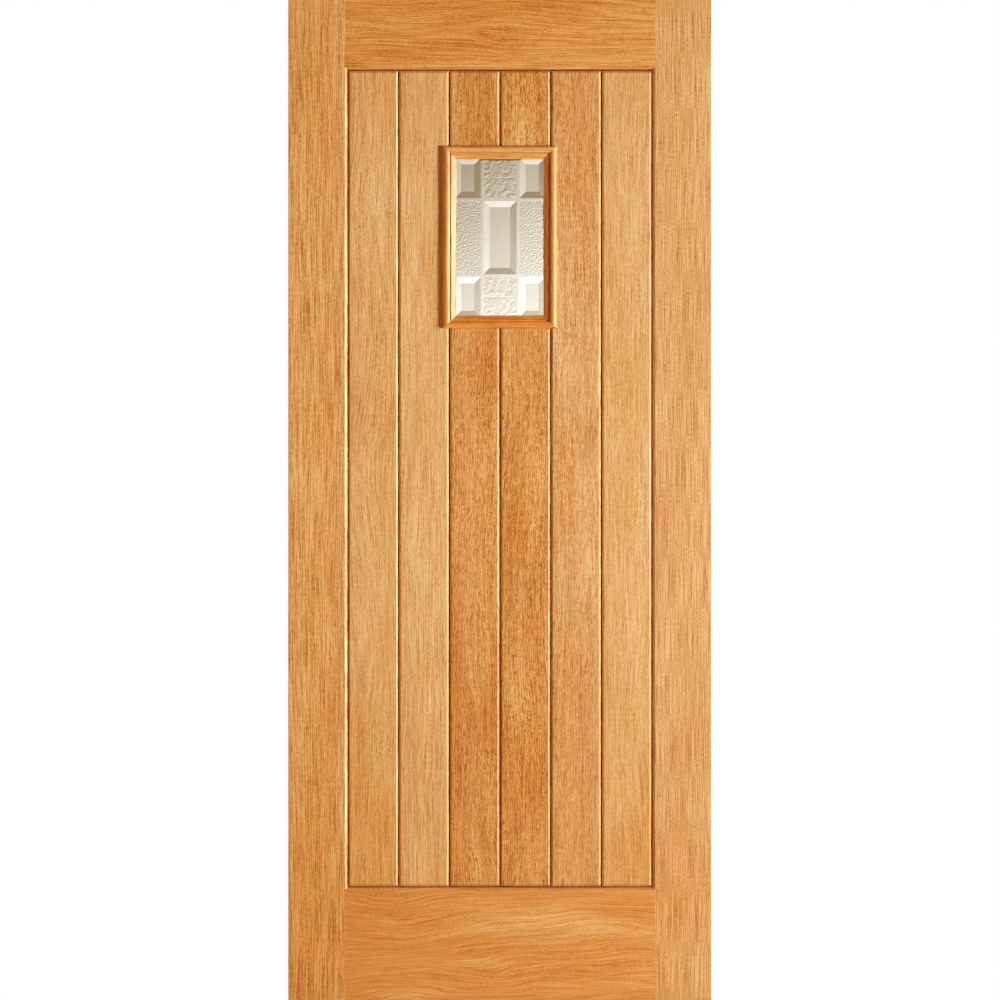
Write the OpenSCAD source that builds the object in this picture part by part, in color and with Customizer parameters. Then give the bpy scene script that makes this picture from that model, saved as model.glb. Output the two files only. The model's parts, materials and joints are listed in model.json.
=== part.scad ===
// Boarded oak door leaf with a small light of bevelled glass.
// Two stiles and two rails, morticed and tenoned, hold a front and a back skin of
// tongued and grooved boards. The light takes the place of the two middle boards.
// Millimetres. +Z is up, the front faces -Y, and the origin is at the middle of the bottom edge.

/* [Leaf] */
// Width over the stiles
leaf_w = 838; // [762:1:914]
// Height from the bottom edge to the top edge
leaf_h = 1981; // [1900:1:2135]
// Thickness of the stiles and rails
leaf_t = 44; // [42:0.5:54]
// Eased edge along the outer corners of the stiles
arris = 1.5; // [0.5:0.1:3]

/* [Frame] */
// Face width of each stile
stile_w = 112; // [95:1:125]
// Face width of the top rail
top_rail_w = 134; // [110:1:170]
// Face width of the bottom rail
bottom_rail_w = 219; // [180:1:260]
// Chamfer on the inner edges of the frame
frame_chamfer = 5; // [4:0.5:7]
// Thickness of the tenons
tenon_t = 14; // [10:0.5:16]
// Length of the tenons beyond the shoulders
tenon_l = 65; // [45:1:80]
// Wood left beside each tenon, at the rail's edges
tenon_shoulder = 20; // [12:1:28]
// Wood left between the two tenons of the bottom rail
tenon_split = 40; // [25:1:60]
// Clearance around each tenon in its mortice
tenon_clearance = 0.1; // [0.05:0.05:0.3]
// Room for glue at the bottom of each mortice
glue_well = 2; // [1:0.5:4]

/* [Boards] */
// Thickness of each board
board_t = 14; // [13:0.5:15]
// How far the boards lie below the face of the frame
board_recess = 2; // [0.5:0.5:3]
// Chamfer around the face of each board
board_chamfer = 4; // [2:0.5:5]
// Open joint between two boards at the bottom of the V
board_gap = 1.8; // [0.8:0.1:2.5]
// Depth from the face of a board to its tongue
tongue_depth = 7; // [6:0.5:8]
// Thickness of the tongue
tongue_t = 4; // [3:0.5:5]
// Length of the tongue
tongue_l = 7; // [5:0.5:9]
// Clearance on each cheek of the tongue
tongue_clearance = 0.1; // [0.05:0.05:0.3]
// Room beyond the tip of the tongue
tongue_room = 1; // [0.5:0.5:2]

/* [Light] */
// Height of the glass that shows
light_h = 309; // [270:1:400]
// Drop from the face of the top rail to the glass that shows
light_drop = 182; // [120:1:260]
// Width of the rebate that hides the edge of the glazing unit
rebate_w = 15; // [13:0.5:17]
// Width of the battens around the opening
batten_w = 30; // [20:1:45]
// Gap around the glazing unit
unit_gap = 3; // [2:0.5:4]

/* [Beads] */
// Width of the glazing bead
bead_w = 26; // [24:0.5:32]
// How far the bead stands out from the boards
bead_h = 10; // [8:0.5:14]
// Width of the slope beside the glass
slope_w = 10; // [8:0.5:12]
// Height of the slope above the boards
slope_h = 5.5; // [4:0.5:7]
// Width of the sunk line between the slope and the roll
quirk_w = 2; // [1.5:0.5:4]
// Thickness of the bead's edge at the glass
bead_lip = 2; // [1:0.5:3]
// Clearance between the bead's leg and the opening
leg_clearance = 0.5; // [0.2:0.1:1]

/* [Glazing] */
// Thickness of the two clear panes
pane_t = 4; // [3:0.5:6]
// Width of the air space, which is the thickness of a spacer bar
spacer_t = 8; // [7:0.5:9]
// Breadth of the spacer bars
spacer_w = 6.5; // [5:0.5:8]
// Breadth of the seal around the edge of the unit
seal_w = 1.5; // [1:0.5:2]
// Thickness of the tape between the beads and the panes
tape_t = 2; // [1:0.5:3]
// Breadth of the tape
tape_w = 8; // [6:0.5:9]

/* [Bevelled panel] */
// Thickness of the clear pane that carries the pieces of glass
carrier_t = 4; // [3:0.5:6]
// Thickness of the clear bond under each piece
bond_t = 0.2; // [0.1:0.1:0.5]
// Width of the joint between two pieces
joint_w = 5.5; // [3:0.5:8]
// How far the pieces run on past the bead
glass_hidden = 3; // [2:0.5:3.5]
// Width of the middle column, between the middles of its joints
middle_w = 71.2; // [60:0.1:80]
// Height of the middle row, between the middles of its joints
middle_h = 151; // [120:1:170]
// Width of the ground bevel
bevel_w = 12.5; // [8:0.5:14]
// Thickness of the bevelled glass at its edge
bevel_edge = 2.4; // [1.5:0.1:3]
// Thickness of the bevelled glass in the middle
bevel_t = 5; // [4:0.1:6]
// Thickness of the textured glass
texture_t = 4.5; // [3:0.1:6]

/* [Small parts] */
// Diameter of the bead pins
pin_d = 1.4; // [1:0.1:2]
// Length of the bead pins
pin_l = 14; // [11:0.5:15]
// Depth of the pin heads below the bead
pin_set = 0.2; // [0.1:0.1:2]
// Clearance of the pins in their holes
pin_clearance = 0.05; // [0.02:0.01:0.1]
// Distance of the end pins from the corners of the beads
pin_inset = 50; // [35:1:60]
// Length of the setting blocks
block_l = 25; // [20:1:40]

/* [Hidden] */
$fn = 48;
// Overshoot that keeps a cut from leaving a skin
over = 1;

// Frame: edge of the flat face, and the panel edge at the bottom of the V
half_t = leaf_t / 2;
half_w = leaf_w / 2;
face_x = half_w - stile_w;
panel_x = face_x - frame_chamfer;
face_top = leaf_h - top_rail_w;
panel_top = face_top - frame_chamfer;
face_bottom = bottom_rail_w;
panel_bottom = face_bottom + frame_chamfer;

// Tenons of each rail, as [low, high]
rail_middle = bottom_rail_w / 2;
top_tenons = [[face_top + tenon_shoulder, leaf_h - tenon_shoulder]];
bottom_tenons = [
    [tenon_shoulder, rail_middle - tenon_split / 2],
    [rail_middle + tenon_split / 2, bottom_rail_w - tenon_shoulder]
];

// Boards: distances from the middle of the leaf's thickness
board_count = 6;
board_w = (2 * panel_x - (board_count + 1) * board_gap) / board_count;
board_face = half_t - board_recess;
board_back = board_face - board_t;
tongue_out = board_face - tongue_depth;
tongue_in = tongue_out - tongue_t;
groove_d = tongue_l + tongue_room;
board_low = panel_bottom + board_gap;
board_high = panel_top - board_gap;
function board_x(i) = -panel_x + board_gap + i * (board_w + board_gap);

// Light: height of its middle, then opening in the boards, glass that shows, and glazing unit, as half sizes
light_z = face_top - light_drop - light_h / 2;
open_x = board_w + 1.5 * board_gap;
open_z = light_h / 2 + rebate_w;
sight_x = open_x - rebate_w;
sight_z = light_h / 2;
unit_x = open_x - unit_gap;
unit_z = open_z - unit_gap;
carrier_half_t = carrier_t / 2;
pane_in = carrier_half_t + spacer_t;
pane_out = pane_in + pane_t;
leg_back = pane_out + tape_t;
spacer_x = unit_x - seal_w;
spacer_z = unit_z - seal_w;
cell_x = sight_x + glass_hidden;
cell_z = sight_z + glass_hidden;
glass_back = carrier_half_t + bond_t;

// Bead: the roll is a half round on a short upright edge
roll_r = (bead_w - slope_w - quirk_w) / 2;
roll_u = bead_w - roll_r;
roll_v = bead_h - roll_r;
leg_w = rebate_w - leg_clearance;
leg_v = leg_back - board_face;

// Edges of the three columns and rows of glass, between their joints
middle_x = middle_w / 2;
middle_z = middle_h / 2;
joint = joint_w / 2;
columns = [[-cell_x, -middle_x - joint], [-middle_x + joint, middle_x - joint], [middle_x + joint, cell_x]];
rows = [[middle_z + joint, cell_z], [-middle_z + joint, middle_z - joint], [-cell_z, -middle_z - joint]];

// Names of the repeated pieces
FACES = ["front", "back"];
// Pieces of a board, by its place from the left: end of the name, low end and high end.
// The two middle boards are cut by the light.
function board_pieces(place) = abs(place - (board_count - 1) / 2) < 1
    ? [["_upper", light_z + open_z, board_high], ["_lower", board_low, light_z - open_z]]
    : [["", board_low, board_high]];
BOARDS = [
    for (place = [0 : board_count - 1]) for (p = board_pieces(place))
        [str("board_", place + 1, p[0]), place, p[1], p[2]]
];
// Each bead: name, angle around the light, and the half sizes along and across it
BEADS = [
    ["bead_top", 0, sight_x, sight_z],
    ["bead_left", 90, sight_z, sight_x],
    ["bead_bottom", 180, sight_x, sight_z],
    ["bead_right", 270, sight_z, sight_x]
];
ROW_NAMES = ["top", "middle", "bottom"];
COLUMN_NAMES = ["left", "centre", "right"];

// Extrusions of an outline drawn in XZ, in XY or in YZ
module through_y(low, high) {
    translate([0, high, 0]) rotate([90, 0, 0]) linear_extrude(high - low) children();
}
module along_z(low, high) {
    translate([0, 0, low]) linear_extrude(high - low) children();
}
module along_x(low, high) {
    translate([low, 0, 0]) rotate([90, 0, 90]) linear_extrude(high - low) children();
}

// Box between two corners
module block(low, high) {
    translate(low) cube(high - low);
}

// Flat ring around the light, between two half sizes, from y = low to y = high
module ring(outer, inner, low, high) {
    translate([0, 0, light_z]) through_y(low, high) difference() {
        square(2 * outer, center = true);
        square(2 * inner, center = true);
    }
}

// Front or back of the leaf: what is drawn on the front is mirrored for the back
module on_face(face) {
    mirror([0, face == "back" ? 1 : 0, 0]) children();
}

// Grooves in a frame member for the tongues of both skins, drawn as a box from low to high in x and z
module tongue_grooves(low, high) {
    for (side = [-1, 1]) {
        middle = side * (tongue_in + tongue_out) / 2;
        reach = tongue_t / 2 + tongue_clearance;
        block([low[0], middle - reach, low[1]], [high[0], middle + reach, high[1]]);
    }
}

// Stile on the +X side, with chamfers that mitre into those of the rails
module stile() {
    section = [
        [panel_x, frame_chamfer - half_t], [face_x, -half_t],
        [half_w - arris, -half_t], [half_w, arris - half_t],
        [half_w, half_t - arris], [half_w - arris, half_t],
        [face_x, half_t], [panel_x, half_t - frame_chamfer]
    ];
    outline = [
        [half_w, 0], [half_w, leaf_h], [face_x, leaf_h], [face_x, face_top],
        [panel_x, panel_top], [panel_x, panel_bottom], [face_x, face_bottom], [face_x, 0]
    ];
    mortice_t = tenon_t / 2 + tenon_clearance;
    difference() {
        intersection() {
            along_z(0, leaf_h) polygon(section);
            through_y(-half_t, half_t) polygon(outline);
        }
        tongue_grooves([panel_x - over, panel_bottom], [panel_x + groove_d, panel_top]);
        for (t = concat(top_tenons, bottom_tenons))
            block([face_x - over, -mortice_t, t[0] - tenon_clearance],
                  [face_x + tenon_l + glue_well, mortice_t, t[1] + tenon_clearance]);
    }
}

module left_stile() {
    color("#d69a57") mirror([1, 0, 0]) stile();
}

module right_stile() {
    color("#e0a868") stile();
}

// Rail between the stiles: outer and inner edge of its face, edge at the V, and its tenons
module rail(outer, face_z, panel_z, tenons) {
    section = [
        [-half_t, outer], [half_t, outer], [half_t, face_z], [half_t - frame_chamfer, panel_z],
        [frame_chamfer - half_t, panel_z], [-half_t, face_z]
    ];
    outline = [
        [-face_x, outer], [face_x, outer], [face_x, face_z],
        [panel_x, panel_z], [-panel_x, panel_z], [-face_x, face_z]
    ];
    inward = panel_z > outer ? 1 : -1;
    groove = [panel_z - inward * groove_d, panel_z + inward * over];
    difference() {
        union() {
            intersection() {
                along_x(-face_x, face_x) polygon(section);
                through_y(-half_t, half_t) polygon(outline);
            }
            for (t = tenons)
                block([-face_x - tenon_l, -tenon_t / 2, t[0]], [face_x + tenon_l, tenon_t / 2, t[1]]);
        }
        tongue_grooves([-panel_x, min(groove)], [panel_x, max(groove)]);
    }
}

module top_rail() {
    color("#d38a42") rail(leaf_h, face_top, panel_top, top_tenons);
}

module bottom_rail() {
    color("#d88e46") rail(0, face_bottom, panel_bottom, bottom_tenons);
}

// Section of a board, face down the page: tongue on the right, and a groove on the left
// except on the first board, which is tongued into the stile
module board_section(x, first) {
    left_out = first ? -tongue_l : groove_d;
    slack = first ? 0 : tongue_clearance;
    polygon([
        [x + board_chamfer, -board_face], [x + board_w - board_chamfer, -board_face],
        [x + board_w, board_chamfer - board_face],
        [x + board_w, -tongue_out], [x + board_w + tongue_l, -tongue_out],
        [x + board_w + tongue_l, -tongue_in], [x + board_w, -tongue_in],
        [x + board_w, -board_back], [x, -board_back],
        [x, slack - tongue_in], [x + left_out, slack - tongue_in],
        [x + left_out, -slack - tongue_out], [x, -slack - tongue_out],
        [x, board_chamfer - board_face]
    ]);
}

// Side view of a board: an end at a rail is chamfered, and an end at the light is square
module board_side(low, high) {
    low_cut = low == board_low ? board_chamfer : 0;
    high_cut = high == board_high ? board_chamfer : 0;
    polygon([
        [-board_back, low], [-board_back, high], [high_cut - board_face, high],
        [-board_face, high - high_cut], [-board_face, low + low_cut], [low_cut - board_face, low]
    ]);
}

module board(place, low, high) {
    x = board_x(place);
    tongue_x = x + (place == 0 ? 0 : groove_d);
    color(len(board_pieces(place)) > 1 ? "#d18a48" : "#dca060") difference() {
        union() {
            intersection() {
                along_z(low, high) board_section(x, place == 0);
                along_x(x - tongue_l, x + board_w + tongue_l) board_side(low, high);
            }
            // The groove runs out through the tongue on the board's end
            if (high == board_high)
                block([tongue_x, -tongue_out, high - over], [x + board_w, -tongue_in, high + tongue_l]);
            if (low == board_low)
                block([tongue_x, -tongue_out, low - tongue_l], [x + board_w, -tongue_in, low + over]);
        }
        // The light cuts away the tongue of the board on its left
        if (place == 1)
            block([-open_x, -board_face - over, light_z - open_z], [0, over - board_back, light_z + open_z]);
        bead_pins(pin_clearance);
    }
}

// Insulation between the skins, and the battens that line the opening
module core(low, high) {
    color("#efe9d8") block([low[0], -board_back, low[1]], [high[0], board_back, high[1]]);
}

module batten(low, high) {
    color("#d9b98a") block([low[0], -board_back, low[1]], [high[0], board_back, high[1]]);
}

// Length of bead: x runs outwards from the edge of the glass, y stands out from the boards
module bead_bar(reach) {
    linear_extrude(2 * reach, center = true) polygon([
        [0, leg_v], [0, leg_v + bead_lip], [slope_w, slope_h], [slope_w, roll_v],
        [bead_w, roll_v], [bead_w, 0], [leg_w, 0], [leg_w, leg_v]
    ]);
    intersection() {
        translate([roll_u, roll_v, -reach]) cylinder(r = roll_r, h = 2 * reach);
        block([slope_w, roll_v - over, -reach], [bead_w + over, bead_h + over, reach]);
    }
}

// One side of the bead frame, mitred at both ends, lying above the middle of the light
module bead(turn, along, across) {
    reach = along + bead_w;
    color("#d8954f") translate([0, -board_face, light_z]) difference() {
        rotate([0, -turn, 0]) intersection() {
            translate([0, 0, across]) rotate([180, -90, 0]) bead_bar(reach);
            through_y(-bead_h - over, over - leg_v) polygon([
                [-along, across], [along, across], [reach, across + bead_w], [-reach, across + bead_w]
            ]);
        }
        translate([0, board_face, -light_z]) bead_pins(pin_clearance);
    }
}

// Headless pins through the roll of each bead, into the boards
module bead_pins(slack = 0) {
    top = board_face + bead_h - pin_set + (slack > 0 ? pin_set + over : 0);
    bottom = board_face + bead_h - pin_set - pin_l;
    pin_x = sight_x + roll_u;
    pin_z = sight_z + roll_u;
    places = concat(
        [for (z = [-1, 1]) for (x = [-1, 1]) [x * (sight_x - pin_inset), z * pin_z]],
        [for (x = [-1, 1]) for (z = [-1, 0, 1]) [x * pin_x, z * (sight_z - pin_inset)]]
    );
    color("#8c8c88") for (p = places)
        translate([p[0], -bottom, light_z + p[1]]) rotate([90, 0, 0])
            cylinder(d = pin_d + 2 * slack, h = top - bottom);
}

// Clear panes on the outside of the unit, with a spacer bar behind each
module pane() {
    color("#dfe6e2", 0.35) translate([0, 0, light_z])
        block([-unit_x, -pane_out, -unit_z], [unit_x, -pane_in, unit_z]);
}

module spacer() {
    outer = [spacer_x, spacer_z];
    color("#b8bbbd") ring(outer, outer - spacer_w * [1, 1], -pane_in, -carrier_half_t);
}

module tape() {
    outer = [unit_x, unit_z];
    color("#3c3a38") ring(outer, outer - tape_w * [1, 1], -leg_back, -pane_out);
}

module edge_seal() {
    color("#2c2c2e") ring([unit_x, unit_z], [spacer_x, spacer_z], -pane_in, pane_in);
}

// Blocks that carry the unit on the bottom of the opening
module setting_blocks() {
    color("#5b6470") for (side = [-1, 1]) {
        middle = side * unit_x / 2;
        translate([0, 0, light_z])
            block([middle - block_l / 2, -pane_out, -open_z], [middle + block_l / 2, pane_out, -unit_z]);
    }
}

// Clear pane in the middle of the unit, which carries the pieces of glass on its front
module carrier_pane() {
    color("#dfe6e2", 0.35) translate([0, 0, light_z])
        through_y(-carrier_half_t, carrier_half_t) square(2 * [spacer_x, spacer_z], center = true);
}

// Piece of textured glass, in one column and one row of the panel
module textured_glass(c, r) {
    color("#e6e1d2", 0.5) translate([0, 0, light_z])
        block([c[0], -glass_back - texture_t, r[0]], [c[1], -glass_back, r[1]]);
}

// Outline across a bevelled piece, from low to high: a flat back, thin edges and a ground slope at each side
function bevel_outline(low, high) = [
    [low, -glass_back], [low, -glass_back - bevel_edge], [low + bevel_w, -glass_back - bevel_t],
    [high - bevel_w, -glass_back - bevel_t], [high, -glass_back - bevel_edge], [high, -glass_back]
];

// Bevelled glass: the slopes of its four sides mitre at the corners
module bevelled_glass(c, r) {
    color("#dcd8ca", 0.5) translate([0, 0, light_z]) intersection() {
        along_z(r[0], r[1]) polygon(bevel_outline(c[0], c[1]));
        along_x(c[0], c[1]) polygon([for (p = bevel_outline(r[0], r[1])) [p[1], p[0]]]);
    }
}

left_stile();
right_stile();
top_rail();
bottom_rail();
for (f = FACES) for (b = BOARDS)
    on_face(f) board(b[1], b[2], b[3]);
core([-panel_x, panel_bottom], [-open_x - batten_w, panel_top]);  // core_left
core([open_x + batten_w, panel_bottom], [panel_x, panel_top]);  // core_right
core([-open_x - batten_w, light_z + open_z + batten_w], [open_x + batten_w, panel_top]);  // core_upper
core([-open_x - batten_w, panel_bottom], [open_x + batten_w, light_z - open_z - batten_w]);  // core_lower
batten([-open_x - batten_w, light_z - open_z - batten_w], [-open_x, light_z + open_z + batten_w]);  // batten_left
batten([open_x, light_z - open_z - batten_w], [open_x + batten_w, light_z + open_z + batten_w]);  // batten_right
batten([-open_x, light_z + open_z], [open_x, light_z + open_z + batten_w]);  // batten_top
batten([-open_x, light_z - open_z - batten_w], [open_x, light_z - open_z]);  // batten_bottom
for (f = FACES) for (b = BEADS)
    on_face(f) bead(b[1], b[2], b[3]);
for (f = FACES) {
    on_face(f) bead_pins();
    on_face(f) pane();
    on_face(f) spacer();
    on_face(f) tape();
}
edge_seal();
setting_blocks();
carrier_pane();
for (i = [0:2]) for (j = [0:2])
    union() {
        if ((i + j) % 2 == 0) bevelled_glass(columns[j], rows[i]);
        else textured_glass(columns[j], rows[i]);
    }
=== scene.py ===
"""Looks of a boarded oak door leaf: oiled oak, moulded beads and a small light of bevelled glass.

Lengths are metres, in the frame of the solids: +Z up, the front of the leaf towards -Y.
"""

import json
import math
from collections import namedtuple

import bpy
from bpy.props import FloatProperty, FloatVectorProperty, PointerProperty
from mathutils import Color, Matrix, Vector, noise


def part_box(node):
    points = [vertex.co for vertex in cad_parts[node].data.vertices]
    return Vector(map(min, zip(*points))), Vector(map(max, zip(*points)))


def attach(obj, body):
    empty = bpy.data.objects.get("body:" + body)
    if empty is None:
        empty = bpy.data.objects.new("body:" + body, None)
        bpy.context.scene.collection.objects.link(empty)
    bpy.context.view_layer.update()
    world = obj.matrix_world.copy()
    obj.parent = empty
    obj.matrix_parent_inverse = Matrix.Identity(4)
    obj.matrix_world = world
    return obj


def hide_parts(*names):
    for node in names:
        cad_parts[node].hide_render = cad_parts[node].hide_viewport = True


bl_info = {
    "name": "Boarded oak door leaf",
    "version": (1, 0, 0),
    "blender": (4, 5, 0),
    "location": "View3D > Sidebar > Door leaf",
    "description": "Finishes, textured glass and stage of a boarded oak door leaf",
    "category": "Object",
}

MM = 0.001

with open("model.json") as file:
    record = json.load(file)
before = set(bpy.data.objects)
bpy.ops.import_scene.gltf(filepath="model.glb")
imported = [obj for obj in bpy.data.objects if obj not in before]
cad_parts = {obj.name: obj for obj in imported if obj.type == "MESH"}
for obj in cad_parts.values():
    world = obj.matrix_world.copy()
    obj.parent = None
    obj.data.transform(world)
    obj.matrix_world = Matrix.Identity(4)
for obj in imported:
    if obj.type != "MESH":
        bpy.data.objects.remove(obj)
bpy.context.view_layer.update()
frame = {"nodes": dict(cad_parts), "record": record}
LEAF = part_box("left_stile")[0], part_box("right_stile")[1]
LEAF_H = LEAF[1].z - LEAF[0].z
LIGHT_MIDDLE = sum(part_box("front_pane"), Vector()) / 2

# Heights between which the boards lie, with the chamfers that the rails have along them
RAIL_CHAMFER = 5 * MM
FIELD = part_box("bottom_rail")[1].z - RAIL_CHAMFER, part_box("top_rail")[0].z + RAIL_CHAMFER

# Faces that meet at more than this have an eased edge between them
SHARP = math.radians(25)


def linear(hex_colour):
    """Turn an sRGB hex colour into linear red, green and blue."""
    parts = [int(hex_colour[i:i + 2], 16) / 255 for i in (1, 3, 5)]
    return tuple(Color(parts).from_srgb_to_scene_linear())


def opaque(colour):
    """Add an alpha of 1 to a linear colour."""
    return (*colour, 1.0)


def nodes_in(slot):
    """Names of the nodes that the record gives a material slot, in its order."""
    return [part["node"] for part in frame["record"]["subparts"] if part["material_slot"] == slot]


def dress(node_name, material):
    """Give a node of the frame its finish."""
    obj = frame["nodes"][node_name]
    if not obj.material_slots:
        obj.data.materials.append(material)
    for slot in obj.material_slots:
        slot.material = material


def soften(node_name, width, segments=2):
    """Ease the sharp edges of a node, as sanding or grinding leaves them."""
    ease = frame["nodes"][node_name].modifiers.new("Eased edges", "BEVEL")
    ease.width = width
    ease.segments = segments
    ease.limit_method = "ANGLE"
    ease.angle_limit = SHARP
    ease.harden_normals = True


def add(tree, kind, settings=None, values=None, links=None):
    """Add one shader node: its settings, the values of its inputs, and the sockets that feed them."""
    node = tree.nodes.new(kind)
    for key, value in (settings or {}).items():
        setattr(node, key, value)
    for key, value in (values or {}).items():
        node.inputs[key].default_value = value
    for key, socket in (links or {}).items():
        tree.links.new(socket, node.inputs[key])
    return node


def start_material(name, **values):
    """New material with one shader, whose inputs take the values given, with _ for each space."""
    material = bpy.data.materials.new(name)
    material.use_nodes = True
    tree = material.node_tree
    tree.nodes.clear()
    inputs = {key.replace("_", " "): value for key, value in values.items()}
    shader = add(tree, "ShaderNodeBsdfPrincipled", values=inputs)
    add(tree, "ShaderNodeOutputMaterial", links={"Surface": shader.outputs["BSDF"]})
    return material, tree, shader


# How one plank was sawn, and what its figure is like. Lengths are millimetres.
Cut = namedtuple("Cut", (
    "upright",  # whether its grain runs up the leaf
    "pith_across",  # where the heart of the log lay, across the grain
    "pith_deep",  # how far behind the middle of the leaf the heart lay
    "wander",  # how far the rings wander along it
    "lean",  # how far its short fibres lean to and fro
    "fibre_l",  # length of a fibre
    "fibre_w",  # width of a fibre
    "fine",  # share of the figure that fibres and pores make up
    "pores",  # share that pores have in that
    "calm",  # how calm the figure is
    "clouds",  # share that soft clouds have in the streaks
    "red",  # how much of the clouds' redness it takes
    "ends",  # how much of the painted shade towards the leaf's top and bottom it takes
    "seed",  # number that tells planks apart
))

CUTS = {
    "left_stile": Cut(True, -620, 160, 8, 1, 28, 1.1, 0.52, 0.56, 0.105, 0.10, 0.25, 0.85, 3),
    "right_stile": Cut(True, 660, 120, 8, 1, 28, 1.1, 0.52, 0.56, 0.108, 0.10, 0.25, 0.45, 10),
    "top_rail": Cut(False, 2300, 120, 55, 3, 32, 1.2, 0.55, 0.53, 0.117, 0.12, 0.45, 1.00, 14),
    "bottom_rail": Cut(False, -400, 120, 110, 3, 32, 1.2, 0.55, 0.56, 0.163, 0.12, 1.00, 1.00, 21),
    "board_1": Cut(True, -430, 100, 40, 1, 26, 1.1, 0.56, 0.58, 0.131, 0.12, 0.40, 1.00, 27),
    "board_2": Cut(True, -450, 90, 40, 1, 26, 1.1, 0.56, 0.58, 0.135, 0.08, 0.25, 1.00, 33),
    "board_3": Cut(True, 240, 70, 65, 30, 16.5, 1, 0.68, 0.46, 0.079, 0.24, 0.65, 1.40, 39),
    "board_4": Cut(True, -230, 70, 62, 34, 16.5, 1, 0.68, 0.46, 0.072, 0.24, 0.65, 1.35, 46),
    "board_5": Cut(True, 500, 90, 70, 18, 16.5, 1, 0.64, 0.52, 0.105, 0.18, 0.40, 1.15, 52),
    "board_6": Cut(True, 540, 100, 35, 1, 26, 1.1, 0.57, 0.60, 0.149, 0.10, 0.35, 1.00, 58),
    "bead_upright": Cut(True, 300, 100, 2, 1, 30, 1.5, 0.50, 0.38, 0.170, 0.10, 0.30, 1.00, 64),
    "bead_level": Cut(False, 1200, 100, 2, 1, 30, 1.5, 0.50, 0.38, 0.170, 0.10, 0.30, 1.00, 71),
}

# A seed moves the figure this many times across, along and into the plank
SEED_STEPS = 1.0, 1.7, 0.6
# The seeds of the back's boards are this much higher
BACK_SEED = 100
# The rings wander this many times further into the plank than across it
WANDER_DEPTH = 3
# Half the span of figure from the darkest to the lightest mark, as a multiple of how calm the plank is
RAMP_REACH = 1.6
# Tone of the rings at which a thin line lies, and how far from it the line fades out
LINE_AT, LINE_FADE = 0.47, 0.07
# Redness that every plank has, and the tint of full redness
BASE_RED = 0.35
RED_TINT = "#f6deb1"
# In heights of the leaf: where the painted light is brightest, level with the lamps' aim, and how far
# from there the painted shade starts and stops
LIGHT_BRIGHTEST_AT, END_SHADE_FROM, END_SHADE_TO = 0.62, 0.2, 0.55
# Tint of the painted shade deep in open joints, and how far from the middle of the thickness it is full
# and has faded out
JOINT_SHADE_TINT = "#b5864b"
RAIL_JOINT_SHADE = 17.2 * MM, 19.2 * MM
BOARD_JOINT_SHADE = 16.0 * MM, 16.6 * MM
# How rough the oak is on dark fibres and on light ones, and how high they stand and show under the oil
DARK_ROUGH, LIGHT_ROUGH = 0.55, 0.42
FIBRE_H, FIBRE_SHOWS = 0.15 * MM, 0.06
# How much the oiled oak mirrors, how much of the oil is a film, how rough that is, and its refraction
OIL_GLOSS, OIL_FILM, FILM_ROUGH, OIL_IOR = 0.5, 0.35, 0.28, 1.5
# The beads were oiled more thinly
BEAD_GLOSS, BEAD_FILM = 0.22, 0.12


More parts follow.
